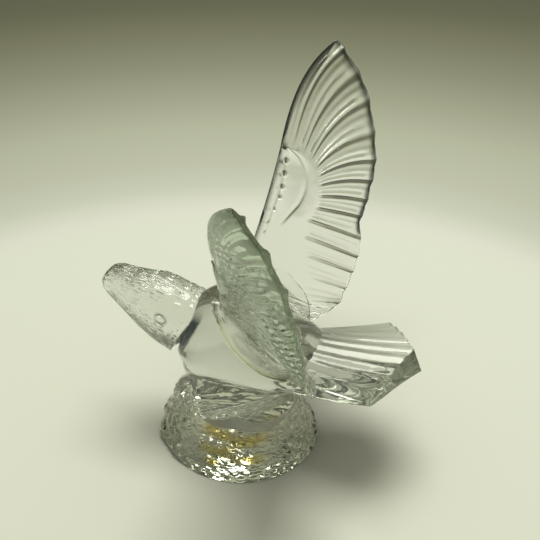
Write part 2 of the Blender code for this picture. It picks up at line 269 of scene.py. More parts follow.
def breast():
    z, angle = grid(BREAST[0][0], BREAST[-1][0], BREAST_STEPS, BODY_TURNS)
    front, back, wide = np.moveaxis(flowing(BREAST, z), -1, 0)
    y = 0.5 * (front + back) + 0.5 * (back - front) * np.sin(angle)
    return form("breast", figure_point(wide * np.cos(angle), y, z))


def leg(side):
    share, angle = grid(0.0, 1.0, LEG_STEPS, LEG_TURNS)
    swell = np.sin(np.pi * lerp(*LEG_ENDS, share ** 0.8)) ** LEG_FULLNESS
    flute = 1.0 + LEG_FLUTE_DEPTH * np.cos(LEG_FLUTES * angle) * swell
    x, y, z = (lerp(start, end, share) for start, end in zip(LEG_FRONT, LEG_BACK))
    x = side * (x + LEG_HALF_WIDTH * swell * flute * np.cos(angle))
    return form("leg", figure_point(x, y, z + LEG_HALF_HEIGHT * swell * flute * np.sin(angle)))


# The head: stretched forward and up, blunt at the beak, with short lengthwise plumes pressed into it, a
# brow, a mouth line and an oval bead for each eye. Its cape ends in a step where it meets the breast. The
# glass is painted dark in the wedge behind the cape and round the eyes: painted shade.
HEAD_RADIUS = 16.0
HEAD_BACK = (0.0, -0.150, 0.256)
HEAD_FRONT = (0.0, -0.437, 0.402)
HEAD_PROFILE = (
    # share of the way to the front, radius, narrowness across, fall of the beak in head radii
    (0.00, 0.70, 0.92, 0.00),
    (0.05, 0.98, 0.94, 0.00),
    (0.15, 1.03, 0.94, 0.00),
    (0.30, 1.00, 0.92, 0.00),
    (0.47, 0.91, 0.86, 0.00),
    (0.64, 0.79, 0.74, 0.00),
    (0.80, 0.65, 0.63, 0.00),
    (0.91, 0.54, 0.56, 0.00),
    (0.97, 0.38, 0.55, 0.04),
    (1.00, 0.18, 0.60, 0.09),
)
HEAD_STEPS = 100
HEAD_TURNS = 154
PLUMES_AROUND = 26
PLUME_ROWS = 6
PLUME_DEPTH = 0.5
PLUME_ROUND = 1.4
BROW_ANGLE = 50.0
BROW_SPREAD = 14.0
BROW_RISE = 1.2
BROW_SHARE = 0.48
BROW_REACH = 0.14
MOUTH_ANGLE = -28.0
MOUTH_SPREAD = 6.0
MOUTH_DEPTH = 0.9
MOUTH_CORNER = 0.40
COLLAR_AT = 1.9
COLLAR_REACH = (12.2, 20.0)
COLLAR_WIDTH = (0.4, 5.0)
COLLAR_ENDS = (-215.0, 38.0)
COLLAR_NARROW = 0.93
COLLAR_FADE = 0.22
COLLAR_LEAST = 0.5
COLLAR_STEPS = 90
# Painted shade: the glass is coloured near black in the wedge behind the cape.
COLLAR_PAINTED_SHADE = (0.01, 0.014, 0.02)
WEDGE_BACK = (-2.0, -1.3)
WEDGE_FRONT = (2.6, 2.0)
WEDGE_OUTER = (22.0, 20.0)
WEDGE_INNER = (8.0, 9.0)
WEDGE_NAPE = (0.9, 0.6)
EYE_SHARE = 0.31
EYE_ANGLE = 14.0
EYE_NARROW = 0.92
EYE_SEAT = 0.98
EYE_LENGTH = 5.4
EYE_HEIGHT = 3.2
EYE_BULGE = 1.4
EYE_STEPS = 14
EYE_TURNS = 28
# Painted shade: a dark ring round each eye bead.
EYE_RIM_PAINTED_SHADE = (0.03, 0.04, 0.03)
EYE_RIM_WIDTH = 0.7
EYE_RIM_SIZE = 1.04
EYE_RIM_TURNS = 39
HEAD_STROKES = 0.9
HEAD_STROKES_BACK = (3.0, 8.0)
HEAD_STROKES_FRONT = (46.0, 38.0)
HEAD_STROKES_Y = (-24.0, -28.0)
HEAD_STROKE_SHARE = 0.45


def rounded(t):
    """A quarter round: 0 at 0, rising steeply to 1 at 1 and staying there."""
    return np.sqrt(1.0 - (1.0 - np.clip(t, 0.0, 1.0)) ** 2)


def bump(value, middle, width):
    """A soft hump that is 1 in its middle and falls away over its width."""
    return np.exp(-((value - middle) / width) ** 2)


def distance(points, line):
    """How far each point lies from a line of points."""
    least = np.full(len(points), np.inf)
    for spot in line:
        least = np.minimum(least, ((points - spot) ** 2).sum(axis=1))
    return np.sqrt(least)


def head_axes():
    back = figure_point(*HEAD_BACK)
    front = figure_point(*HEAD_FRONT)
    along = (front - back) / np.linalg.norm(front - back)
    across = np.array((1.0, 0.0, 0.0))
    up = np.cross(along, across)
    return back, front, along, across, up if up[2] > 0.0 else -up


def head():
    back, front, along, across, up = head_axes()
    share, angle = grid(0.0, 1.0, HEAD_STEPS, HEAD_TURNS)
    size, narrow, fall = np.moveaxis(flowing(HEAD_PROFILE, share), -1, 0)
    rise = np.degrees(np.arcsin(np.sin(angle)))
    row = share * PLUME_ROWS
    turn = angle / math.tau * PLUMES_AROUND + 0.5 * np.floor(row)
    dent = (np.sin(np.pi * (turn % 1.0)) * np.sin(np.pi * (row % 1.0))) ** PLUME_ROUND
    plume = PLUME_DEPTH * dent * smooth(0.0, 0.12, share) * smooth(1.0, 0.9, share)
    brow = BROW_RISE * bump(rise, BROW_ANGLE, BROW_SPREAD) * bump(share, BROW_SHARE, BROW_REACH)
    opened = np.clip((share - MOUTH_CORNER) * 8.0, 0.0, 1.0)
    mouth = MOUTH_DEPTH * bump(rise, MOUTH_ANGLE, MOUTH_SPREAD) * opened
    radius = HEAD_RADIUS * size - plume + brow - mouth * size
    middle = back + (front - back) * share[..., None] - up * (fall * HEAD_RADIUS)[..., None]
    out = across * (narrow * np.cos(angle))[..., None] + up * np.sin(angle)[..., None]
    return form("head", middle + out * radius[..., None])


def collar():
    """The wedge that is cut between the cape and the breast, round the sides and the throat."""
    back, front, along, across, up = head_axes()
    share = np.linspace(0.0, 1.0, COLLAR_STEPS)
    angle = np.radians(lerp(*COLLAR_ENDS, share))
    deep = rounded(np.minimum(share, 1.0 - share) / COLLAR_FADE)
    out = across * (COLLAR_NARROW * np.cos(angle))[:, None] + up * np.sin(angle)[:, None]
    low, high = COLLAR_REACH
    inner = lerp(high - COLLAR_LEAST, low, deep)
    outer = high + 0.0 * deep
    narrow, wide = (0.5 * width for width in COLLAR_WIDTH)
    corners = ((inner, -narrow), (outer, -wide), (outer, wide), (inner, narrow))
    rings = [back + along * (COLLAR_AT + aside) + out * reach[:, None] for reach, aside in corners]
    return form("collar", np.stack(rings, axis=1))


def eye_place(side):
    """The middle of an eye, the way it faces and the way that is up on it."""
    back, front, along, across, up = head_axes()
    rise = math.radians(EYE_ANGLE)
    out = across * (side * EYE_NARROW * math.cos(rise)) + up * math.sin(rise)
    middle = lerp(back, front, EYE_SHARE) + out * HEAD_RADIUS * EYE_SEAT
    normal = out / np.linalg.norm(out)
    return middle, normal, np.cross(normal, along)


def eye(side):
    middle, normal, tall = eye_place(side)
    along = head_axes()[2]
    tilt, angle = grid(-0.45, 0.5, EYE_STEPS, EYE_TURNS)
    tilt = tilt * np.pi
    length = 0.5 * EYE_LENGTH * np.cos(tilt) * np.cos(angle)
    height = 0.5 * EYE_HEIGHT * np.cos(tilt) * np.sin(angle)
    lift = EYE_BULGE * np.sin(tilt)
    flat = along * length[..., None] + tall * height[..., None]
    return form("eye", middle + flat + normal * lift[..., None])


def head_place(points):
    """How far points lie along the head's axis and out from it, and how far up they are round it."""
    back, front, along, across, up = head_axes()
    away = points - back
    out = np.hypot(away @ across / COLLAR_NARROW, away @ up)
    return away @ along, out, (away @ up) / np.maximum(out, 1.0)


def paint_head_shade(points, tint):
    """Painted shade: the dark band behind the cape, except on the nape, and the dark rim of each eye."""
    at, out, upward = head_place(points)
    wedge_shade = smooth(*WEDGE_BACK, at) * smooth(*WEDGE_FRONT, at)
    wedge_shade *= smooth(*WEDGE_OUTER, out) * smooth(*WEDGE_INNER, out) * smooth(*WEDGE_NAPE, upward)
    stain_and_shade(tint, COLLAR_PAINTED_SHADE, wedge_shade)
    along = head_axes()[2]
    angle = turns(EYE_RIM_TURNS)[:, None]
    length = 0.5 * EYE_RIM_SIZE * EYE_LENGTH * np.cos(angle)
    height = 0.5 * EYE_RIM_SIZE * EYE_HEIGHT * np.sin(angle)
    for side in (1, -1):
        middle, normal, tall = eye_place(side)
        ring = middle + along * length + tall * height
        stain_and_shade(tint, EYE_RIM_PAINTED_SHADE, bump(distance(points, ring), 0.0, EYE_RIM_WIDTH))


def head_strokes(points):
    """Fine strokes along the head: the phase of their ripples, and their strength."""
    at, out, upward = head_place(points)
    strength = smooth(*HEAD_STROKES_BACK, at) * smooth(*HEAD_STROKES_FRONT, at)
    strength *= smooth(*HEAD_STROKES_Y, points[:, 1])
    round_head = HEAD_RADIUS * np.arccos(np.clip(upward, -1.0, 1.0))
    return HEAD_STROKE_SHARE * round_head, HEAD_STROKES * strength


# The wings: raised in a V, thick and smooth over the coverts, where a lip curves round the smooth patch,
# and fluted from there out to the thin scalloped edge. Each feather is a broad ridge with a thin one beside
# it. Painted shade darkens the edges of both wings, the right one's most, and the dimples, and colours the
# left wing's outer face grey-green; that face also has fine arcs in it.
WING_LENGTH = 123.5
WING_CHORD = 56.4
WING_THICKNESS = 8.0
WING_WRIST_THICKNESS = 5.0
WING_FOOT_SHARE = 0.62
WING_EDGE = 1.8
WING_LEAST = 0.02
WING_CAMBER = 13.0
WING_TIP_CURL = 8.7
WING_BOW = 4.3
WING_ROOT = (0.111, 0.086, 0.326)
WING_SPAN_WAY = (0.643, 0.053, 0.764)
WING_CHORD_WAY = (0.359, 0.861, -0.362)
LEADING_CHORD = -0.343
WRIST = (0.551, -0.320)
TIP = (1.0, 0.0)
FEATHERS = (
    # each line between feathers: its number, span and chord at the coverts, then span and chord at its end
    (0, -0.081, 0.100, -0.081, 0.280),
    (1, -0.010, 0.225, 0.013, 0.516),
    (2, 0.081, 0.204, 0.077, 0.569),
    (3, 0.162, 0.143, 0.151, 0.610),
    (4, 0.231, 0.071, 0.216, 0.633),
    (5, 0.300, 0.051, 0.291, 0.643),
    (6, 0.356, 0.112, 0.377, 0.594),
    (7, 0.405, 0.131, 0.447, 0.616),
    (8, 0.445, 0.108, 0.526, 0.622),
    (9, 0.478, 0.082, 0.606, 0.618),
    (10, 0.506, 0.051, 0.691, 0.559),
    (11, 0.529, -0.004, 0.802, 0.437),
    (12, 0.545, -0.082, 0.885, 0.308),
    (13, 0.555, -0.173, 0.960, 0.114),
    (14, 0.551, -0.320, 1.000, 0.000),
)
LINES = len(FEATHERS) - 1
STRAIGHT_FEATHERS = 6
OUTER_BEND = (0.059, -0.179)
PATCH_LIP = (
    # feather line, share of the way from the leading edge to the flutes
    (0.0, 0.40),
    (4.3, 0.42),
    (5.0, 0.55),
    (6.0, 0.62),
    (7.0, 0.65),
    (8.2, 0.68),
    (9.5, 0.66),
    (11.0, 0.56),
    (12.0, 0.47),
    (14.0, 0.25),
)
LIP_RISE = 0.7
LIP_WIDTH = 0.05
PATCH_RISE = 0.6
RIDGE_RISE = 1.40
RIDGE_MIDDLE = 0.36
RIDGE_WIDTH = 0.13
RIDGE_SINK = 0.35
THIN_RIDGE_RISE = 0.75
THIN_RIDGE_MIDDLE = 0.64
THIN_RIDGE_WIDTH = 0.07
HOLLOW_LINE_RISE = 0.22
HOLLOW_LINE_WIDTH = 0.07
RIPPLES_A_FEATHER = 3
RIPPLE_RISE = 0.13
INNER_FACE_LEAST = 0.5
OUTER_FACE_LEAST = 0.4
EDGE_SWELL = 0.35
EDGE_SWELL_LINE = 10.5
EDGE_SWELL_SPREAD = 2.5
SCALLOP = 0.75
SCALLOP_ROUND = 0.7
SCALLOP_SINK = 0.3
ROD_WIDTH = 0.15
ROD_BACK = 0.12
LIP_REACH = (0.10, 0.12)
PATCH_LEAST = 0.12
ROD_END = 0.45
ROD_GROOVE = 0.7
ROD_GROOVE_AT = 0.05
ROD_GROOVE_WIDTH = 0.035
DIMPLES = (
    # feather line, share of the way from the leading edge, radius, depth
    (12.3, 0.17, 1.5, 0.9),
    (9.8, 0.18, 1.4, 0.9),
    (8.2, 0.19, 1.3, 0.8),
    (6.9, 0.20, 1.2, 0.8),
    (6.1, 0.22, 1.0, 0.7),
    (5.2, 0.21, 0.8, 0.6),
    (4.4, 0.16, 0.7, 0.5),
    (3.8, 0.14, 0.6, 0.5),
)
GROOVE_SPAN = (0.0, -0.010)
GROOVE_CHORD = (0.047, 0.323)
GROOVE_LIFT = (3.4, 2.3)
GROOVE_RADIUS = 1.4
GROOVE_END = 0.09
GROOVE_POINT = 0.05
GROOVE_STEPS = 30
GROOVE_TURNS = 20
COLUMNS_A_FEATHER = 12
PATCH_STEPS = (6, 7, 4, 11, 4)
FEATHER_SHARES = 28
RIM_TURNS = (22.5, 45.0, 67.5, 90.0)
WING_STARTS = 18.0
# Painted shade: the wings' edges are darkened, the right wing's nearly to black.
EDGE_PAINTED_SHADE = {1: (0.9, 0.92, 0.86), -1: (0.02, 0.03, 0.02)}
EDGE_SHADE_WIDTH = 1.5
EDGE_SHADE_LINES = (5.5, 14.0)
EDGE_SHADE_START = 0.1
# Painted shade: the dimples along the leading edge are coloured dark.
DIMPLE_PAINTED_SHADE = (0.05, 0.06, 0.05)
DIMPLE_SHADE_SHARE = 0.8
# Painted shade: the left wing's outer face is coloured a darker grey-green.
LEFT_WING_PAINTED_SHADE = (0.34, 0.45, 0.31)
LEFT_WING_SIDE = (22.0, 30.0)
LEFT_WING_HEIGHT = (62.0, 72.0)
OUTER_FACING = (0.2, 0.6)
ARC_SHARE = 0.19
ARC_SLOPE = 1.5
ARC_BEND = 0.012
ARC_MIDDLE = 12.0
ARC_STRENGTH = 3.5
ARC_SIDE = (24.0, 30.0)
ARC_HEIGHT = (58.0, 66.0)
ARC_FRONT = (-14.0, -4.0)
ARC_ROOT = (6.0, 18.0)
ARC_TIP = (104.0, 88.0)


def wing_sheet(side, span_share, chord_share):
    """Points of the wing's middle sheet, hollowed towards the trailing edge, and its inward way."""
    root = figure_point(side * WING_ROOT[0], WING_ROOT[1], WING_ROOT[2])
    span = np.array((side * WING_SPAN_WAY[0], WING_SPAN_WAY[1], WING_SPAN_WAY[2]))
    span /= np.linalg.norm(span)
    chord = np.array((side * WING_CHORD_WAY[0], WING_CHORD_WAY[1], WING_CHORD_WAY[2]))
    chord -= span * chord.dot(span)
    chord /= np.linalg.norm(chord)
    inner = np.cross(span, chord) * side
    out = np.clip(span_share, 0.0, 1.0)
    hollow = np.sin(np.pi * out)
    behind = np.maximum(0.0, chord_share - LEADING_CHORD)
    lift = WING_TIP_CURL * out ** 2 - WING_CAMBER * hollow * behind ** 1.3
    back = chord_share * WING_CHORD + WING_BOW * hollow
    along = span_share * WING_LENGTH
    return root + along[..., None] * span + back[..., None] * chord + lift[..., None] * inner, inner


def dimple_places():
    """Each dimple's span and chord, in shares of the wing's own, with its radius and depth."""
    for line, share, radius, depth in DIMPLES:
        ledge_span, ledge_chord = flowing(FEATHERS, np.array([line]))[0][:2]
        lead = lerp(LEADING_CHORD, WRIST[1], ledge_span / WRIST[0])
        yield ledge_span, lerp(lead, ledge_chord, share), radius, depth


# The feather lines as a column, with each one's places on the wing and the wing's half thickness there.
line_at = np.linspace(0.0, LINES, LINES * COLUMNS_A_FEATHER + 1)[:, None]
ledge_x, ledge_y, end_x, end_y = (column[:, None] for column in flowing(FEATHERS, line_at[:, 0]).T)
to_wrist = np.clip(ledge_x / WRIST[0], 0.0, 1.0)
lead_y = lerp(LEADING_CHORD, WRIST[1], to_wrist)
patch_depth = np.minimum(1.0, (ledge_y - lead_y) / PATCH_LEAST)
full_half = 0.5 * lerp(WING_THICKNESS, WING_WRIST_THICKNESS, to_wrist)
foot_half = WING_FOOT_SHARE * full_half
rod_end = rounded((LINES - line_at) / ROD_END)


def coverts():
    """The smooth patch behind the leading edge: span and chord, then half thickness inside and outside."""
    lip_at = flowing(PATCH_LIP, line_at[:, 0])
    places = (0.0, ROD_WIDTH, ROD_WIDTH + ROD_BACK, lip_at - LIP_REACH[0], lip_at + LIP_REACH[1], 1.0)
    marks = [place + 0.0 * line_at for place in places]
    steps = zip(marks, marks[1:], PATCH_STEPS)
    runs = [lerp(low, np.maximum(low, high), np.arange(n) / n) for low, high, n in steps]
    t = np.maximum.accumulate(np.concatenate(runs + [marks[-1]], axis=1), axis=1)
    nose = rounded(t / ROD_WIDTH)
    swell = patch_depth * smooth(LINES - 1.0, LINES - 4.5, line_at)
    half = nose * lerp(foot_half, lerp(full_half, foot_half, smooth(0.35, 1.0, t)), swell)
    x = ledge_x + 0.0 * t
    y = lerp(lead_y, ledge_y, t)
    shown = smooth(4.1, 5.2, line_at) * smooth(13.6, 12.6, line_at)
    step = PATCH_RISE * (smooth(lip_at + 0.06, lip_at - 0.02, t) - 0.5)
    lip = LIP_RISE * bump(t, lip_at, LIP_WIDTH) + step
    groove = ROD_GROOVE * bump(t, ROD_WIDTH + ROD_GROOVE_AT, ROD_GROOVE_WIDTH)
    groove = groove * smooth(2.0, 4.0, line_at) * patch_depth
    inside = half + shown * lip * nose - groove
    for span, chord, radius, depth in dimple_places():
        away = np.hypot((x - span) * WING_LENGTH, (y - chord) * WING_CHORD)
        inside = inside - depth * np.exp(-(away / radius) ** 4)
    return x, y, inside * rod_end + WING_LEAST, half * rod_end + WING_LEAST


def feathers():
    """The fluted feathers out to their rounded rim, given as the coverts are."""
    s = np.linspace(0.0, 1.0, FEATHER_SHARES)[None, 1:]
    feather = line_at % 1.0
    bend = np.maximum(0.0, (line_at - STRAIGHT_FEATHERS) / (LINES - STRAIGHT_FEATHERS))
    control_x = 0.5 * (ledge_x + end_x) + OUTER_BEND[0] * bend
    control_y = 0.5 * (ledge_y + end_y) + OUTER_BEND[1] * bend
    way_x = (end_x - control_x) * WING_LENGTH
    way_y = (end_y - control_y) * WING_CHORD
    way = np.hypot(way_x, way_y)
    scallop = SCALLOP * (np.sin(np.pi * feather) ** SCALLOP_ROUND - SCALLOP_SINK)
    tip_x = end_x + scallop * way_x / way / WING_LENGTH
    tip_y = end_y + scallop * way_y / way / WING_CHORD
    x = lerp(lerp(ledge_x, control_x, s), lerp(control_x, tip_x, s), s)
    y = lerp(lerp(ledge_y, control_y, s), lerp(control_y, tip_y, s), s)

    edge = 0.5 * WING_EDGE * (1.0 + EDGE_SWELL * bump(line_at, EDGE_SWELL_LINE, EDGE_SWELL_SPREAD))
    half = lerp(foot_half, edge, s ** 0.7)
    strength = lerp(0.7, 1.0, smooth(1.0, 5.0, line_at)) * smooth(0.0, 0.10, s)
    broad = RIDGE_RISE * bump(feather, RIDGE_MIDDLE, RIDGE_WIDTH) * lerp(0.7, 1.0, smooth(0.0, 0.5, s))
    thin = THIN_RIDGE_RISE * bump(feather, THIN_RIDGE_MIDDLE, THIN_RIDGE_WIDTH) * smooth(0.93, 0.84, s)
    borders = bump(feather, 0.0, HOLLOW_LINE_WIDTH) + bump(feather, 1.0, HOLLOW_LINE_WIDTH)
    line = HOLLOW_LINE_RISE * borders * smooth(0.4, 0.7, s)
    inside = half + strength * (broad + thin + line - RIDGE_SINK)
    outside = half + RIPPLE_RISE * np.cos(math.tau * RIPPLES_A_FEATHER * feather) * smooth(0.0, 0.15, s)
    inside = np.maximum(inside, INNER_FACE_LEAST) * rod_end + WING_LEAST
    outside = np.maximum(outside, OUTER_FACE_LEAST) * rod_end + WING_LEAST

    turn = np.radians(RIM_TURNS)[None, :]
    rim = half[:, -1:] * np.sin(turn)
    rim_x = x[:, -1:] + rim * way_x / way / WING_LENGTH
    rim_y = y[:, -1:] + rim * way_y / way / WING_CHORD
    rims = (rim_x, rim_y, inside[:, -1:] * np.cos(turn), outside[:, -1:] * np.cos(turn))
    return [np.concatenate([flat, rounding], axis=1) for flat, rounding in zip((x, y, inside, outside), rims)]


def wing(side):
    x, y, inside, outside = (np.concatenate(both, axis=1) for both in zip(coverts(), feathers()))
    sheet, inner = wing_sheet(side, x, y)
    inner_face = sheet + inner * inside[..., None]
    outer_face = sheet - inner * outside[..., None]
    return form("wing", np.concatenate([inner_face, outer_face[:, ::-1]], axis=1))


def wing_groove(side):
    """The short round-ended groove cut along the wing's root, on its inner face."""
    share = np.linspace(0.0, 1.0, GROOVE_STEPS)
    middle, inner = wing_sheet(side, lerp(*GROOVE_SPAN, share), lerp(*GROOVE_CHORD, share))
    middle = middle + inner * lerp(*GROOVE_LIFT, share)[:, None]
    along = middle[-1] - middle[0]
    along /= np.linalg.norm(along)
    aside = np.cross(inner, along)
    ends = rounded(share / GROOVE_END) * rounded((1.0 - share) / GROOVE_END)
    size = GROOVE_RADIUS * lerp(GROOVE_POINT, 1.0, ends)
    angle = turns(GROOVE_TURNS)
    out = np.cos(angle)[:, None] * aside + np.sin(angle)[:, None] * inner
    return form("wing_groove", middle[:, None, :] + out[None] * size[:, None, None])


def wing_map(points, side):
    """Where points lie on the wing's sheet, in millimetres along the span and back along the chord."""
    start, inner = wing_sheet(side, np.array(0.0), np.array(0.0))
    lead_root = wing_sheet(side, np.array(0.0), np.array(LEADING_CHORD))[0]
    lead_tip = wing_sheet(side, np.array(1.0), np.array(LEADING_CHORD))[0]
    span = lead_tip - lead_root
    span -= inner * span.dot(inner)
    span /= np.linalg.norm(span)
    chord = np.cross(inner, span) * side
    away = points - start
    along = away @ span
    back = away @ chord - WING_BOW * np.sin(np.pi * np.clip(along / WING_LENGTH, 0.0, 1.0))
    return np.stack([along, back], axis=1)


def wing_edges():
    """The trailing and leading edges, as places on the wing's sheet in millimetres."""
    trailing = flowing(FEATHERS, np.linspace(*EDGE_SHADE_LINES, 240))[:, 2:]
    t = np.linspace(0.0, 1.0, 200)[:, None]
    wrist, tip = np.array(WRIST), np.array(TIP)
    control = 0.5 * (wrist + tip) + np.array(OUTER_BEND)
    root_edge = lerp(np.array((EDGE_SHADE_START, LEADING_CHORD)), wrist, t)
    tip_edge = lerp(lerp(wrist, control, t), lerp(control, tip, t), t)
    return np.concatenate([trailing, root_edge, tip_edge]) * np.array((WING_LENGTH, WING_CHORD))


def paint_wing_shade(points, normals, tint):
    """Painted shade: the dark edges and dimples of both wings, and the grey-green outer face of the left one.
    """
    for side in (1, -1):
        on_wing = points[:, 0] * side > WING_STARTS
        spots = wing_map(points[on_wing], side)
        on_wing_shade = tint[on_wing]
        stain_and_shade(on_wing_shade, EDGE_PAINTED_SHADE[side], bump(distance(spots, wing_edges()), 0.0, EDGE_SHADE_WIDTH))
        for span, chord, radius, depth in dimple_places():
            away = np.hypot(spots[:, 0] - span * WING_LENGTH, spots[:, 1] - chord * WING_CHORD)
            stain_and_shade(on_wing_shade, DIMPLE_PAINTED_SHADE, np.exp(-(away / (DIMPLE_SHADE_SHARE * radius)) ** 4))
        tint[on_wing] = on_wing_shade
    left_wing_shade = smooth(*LEFT_WING_SIDE, points[:, 0]) * smooth(*LEFT_WING_HEIGHT, points[:, 2])
    stain_and_shade(tint, LEFT_WING_PAINTED_SHADE, left_wing_shade * left_outer_face(normals))


def left_outer_face(normals):
    """1 where the glass faces the way that the left wing's outer face does, 0 elsewhere."""
    inner = wing_sheet(1, np.array(0.0), np.array(0.0))[1]
    return smooth(*OUTER_FACING, -(normals @ inner))


def wing_arcs(points, normals):
    """Fine arcs over the left wing's outer face: the phase of their ripples, and their strength."""
    along, back = wing_map(points, 1).T
    strength = smooth(*ARC_SIDE, points[:, 0]) * smooth(*ARC_HEIGHT, points[:, 2]) * left_outer_face(normals)
    strength *= smooth(*ARC_FRONT, back) * smooth(*ARC_TIP, along) * smooth(*ARC_ROOT, along)
    behind = back - ARC_MIDDLE
    return ARC_SHARE * (along - ARC_SLOPE * behind - ARC_BEND * behind ** 2), ARC_STRENGTH * strength


# The wing roots: a smooth gusset on each flank, where the wing grows out of the body. Its edge stands proud
# of the body and sweeps from the shoulder down to the hip, with an olive line along it and fine streaks
# beside it.
ROOT_LINE = (
    # share of the way from the shoulder to the hip, then x, y and height in shares of the figure's length
    (0.00, 0.116, -0.078, 0.416),
    (0.20, 0.140, -0.042, 0.378),
    (0.50, 0.156, 0.024, 0.281),
    (0.75, 0.155, 0.106, 0.214),
    (1.00, 0.144, 0.192, 0.190),
)
ROOT_ON_WING = (
    # the same share, then span and chord where the gusset meets the wing
    (0.00, 0.075, -0.300),
    (0.50, 0.110, -0.020),
    (1.00, 0.010, 0.330),
)
ROOT_STEP = 3.0
ROOT_DEPTH = 9.0
ROOT_BULGE = 0.6
ROOT_BULGE_REACH = 0.6
ROOT_FILLET = 8.0
ROOT_ROUND = 0.16
ROOT_SINK = 0.4
ROOT_HEART = 0.8
ROOT_END_SIZE = 0.35
ROOT_STEPS = 70
ROOT_SKIN_STEPS = 26
OLIVE = (0.58, 0.53, 0.16)
OLIVE_WIDTH = 2.1
STREAK_WIDTH = 14.0
STREAK_STRENGTH = 1.6
STREAK_START = (0.8, 2.0)
STREAK_FADE = 4.0
STREAK_INNER_SIDE = 17.0
FLANK_STEPS = 120


def flank_line(side, share):
    """The gusset's lower edge, from the shoulder to the hip."""
    return figure_point(*(flowing(ROOT_LINE, share) * np.array((side, 1.0, 1.0))).T)


def wing_root(side):
    v = np.linspace(0.0, 1.0, ROOT_STEPS)
    flank = flank_line(side, v)
    span_share, chord_share = flowing(ROOT_ON_WING, v).T
    middle, inner = wing_sheet(side, span_share, chord_share)
    half = 0.5 * lerp(WING_THICKNESS, WING_WRIST_THICKNESS, span_share / WRIST[0])[:, None]
    under = middle - inner * (half - ROOT_SINK)
    below = wing_sheet(side, span_share - ROOT_FILLET / WING_LENGTH, chord_share)[0]
    low = below - inner * (half - ROOT_SINK)
    outward = np.array((side * 1.0, 0.0, 0.0))
    t = np.linspace(0.0, 1.0, ROOT_SKIN_STEPS)[None, :, None]
    to_low = lerp(flank[:, None, :], low[:, None, :], t)
    skin = lerp(to_low, lerp(low[:, None, :], under[:, None, :], t), t)
    skin += outward * (ROOT_BULGE * np.sin(np.pi * np.minimum(1.0, t / ROOT_BULGE_REACH)) ** 2)
    heart = [lerp(under, middle, ROOT_HEART), flank - outward * ROOT_DEPTH, flank - outward * ROOT_STEP]
    core = lerp(flank, middle, 0.5)[:, None, :] - outward * 0.5 * ROOT_DEPTH
    full = (rounded(v / ROOT_ROUND) * rounded((1.0 - v) / ROOT_ROUND))[:, None, None]
    rings = np.concatenate([skin, np.stack(heart, axis=1)], axis=1)
    return form("wing_root", lerp(core, rings, lerp(ROOT_END_SIZE, 1.0, full)))


def tint_roots(points, tint):
    for side in (1, -1):
        flank = flank_line(side, np.linspace(0.0, 1.0, FLANK_STEPS))
        stain_and_shade(tint, OLIVE, bump(distance(points, flank), 0.0, OLIVE_WIDTH))


def root_streaks(side, points):
    """Fine streaks above the olive line: the phase of their ripples, and their strength."""
    x, y, z = points.T
    flank = flank_line(side, np.linspace(0.0, 1.0, FLANK_STEPS))
    away = distance(points, flank)
    strength = smooth(*STREAK_START, away) * smooth(STREAK_WIDTH, STREAK_WIDTH - STREAK_FADE, away)
    strength *= smooth(-0.5, 1.0, x * side - STREAK_INNER_SIDE)
    strength *= smooth(0.0, 2.0, z - np.interp(y, flank[:, 1], flank[:, 2]))
    return away, STREAK_STRENGTH * strength


# The tail: a deep keel under a fluted fan, its top arched and its end cut off to a blunt point, with
# crisp edges where the mould closed. Its underside is painted a little greyer towards the sides: painted
# shade.
TAIL_SPREAD = 61.0
TAIL_END = 9.5
TAIL_EDGE = 1.2
TAIL_SIDE = 9.0
TAIL_FLUTES = 9
TAIL_FLUTE_DEPTH = 0.8
TAIL_ROOT_Y = 0.150
TAIL_CORNER_Y = 0.434
TAIL_TIP_Y = 0.535
TAIL_TOP_Z = 0.272
TAIL_ARCH = 0.057
TAIL_SAG = 0.010
TAIL_ROOT_HALF = 0.098
TAIL_KEEL = 0.235
TAIL_END_SLOPE = 0.030
TAIL_STEPS = 40
TAIL_COLUMNS_A_FLUTE = 12
# Painted shade: the tail's downward faces are coloured greyer towards the sides.
TAIL_UNDER_PAINTED_SHADE = (0.62, 0.65, 0.55)
TAIL_UNDER_SIDE = (13.0, 21.0)
TAIL_UNDER_START = (30.0, 36.0)
TAIL_UNDER_FACING = (0.0, -0.3)
TAIL_UNDER_LOW = (30.0, 38.0)
TAIL_UNDER_HIGH = (64.0, 60.0)


def tail():
    across = np.linspace(-1.0, 1.0, TAIL_FLUTES * TAIL_COLUMNS_A_FLUTE + 1)[:, None]
    share = np.linspace(0.0, 1.0, TAIL_STEPS)[None, :]
    half = 0.5 * TAIL_SPREAD / FIGURE_LENGTH
    inside = 1.0 - np.abs(across)
    flute = 0.5 - 0.5 * np.cos(math.tau * TAIL_FLUTES * (across + 1.0) / 2.0)
    width = lerp(TAIL_ROOT_HALF, half, share ** 0.85)
    end = lerp(TAIL_CORNER_Y, TAIL_TIP_Y, inside ** 0.95)
    y = lerp(TAIL_ROOT_Y, end, share)
    top = TAIL_TOP_Z - TAIL_ARCH * across ** 2 - TAIL_SAG * np.sin(np.pi * share)
    side = lerp(TAIL_SIDE, TAIL_EDGE, share) / FIGURE_LENGTH
    deep = lerp(TAIL_KEEL, (TAIL_END + TAIL_EDGE) / FIGURE_LENGTH, share ** 1.1)
    thick = side + (deep - side) * inside ** 0.6
    rise = TAIL_FLUTE_DEPTH * flute * np.minimum(1.0, share * 1.6) / FIGURE_LENGTH
    upper = figure_point(width * across, y, top + rise)
    low_y = y + TAIL_END_SLOPE * inside * share ** 4
    lower = figure_point(width * across, low_y, top - thick)
    return form("tail", np.concatenate([upper, lower[:, ::-1]], axis=1))


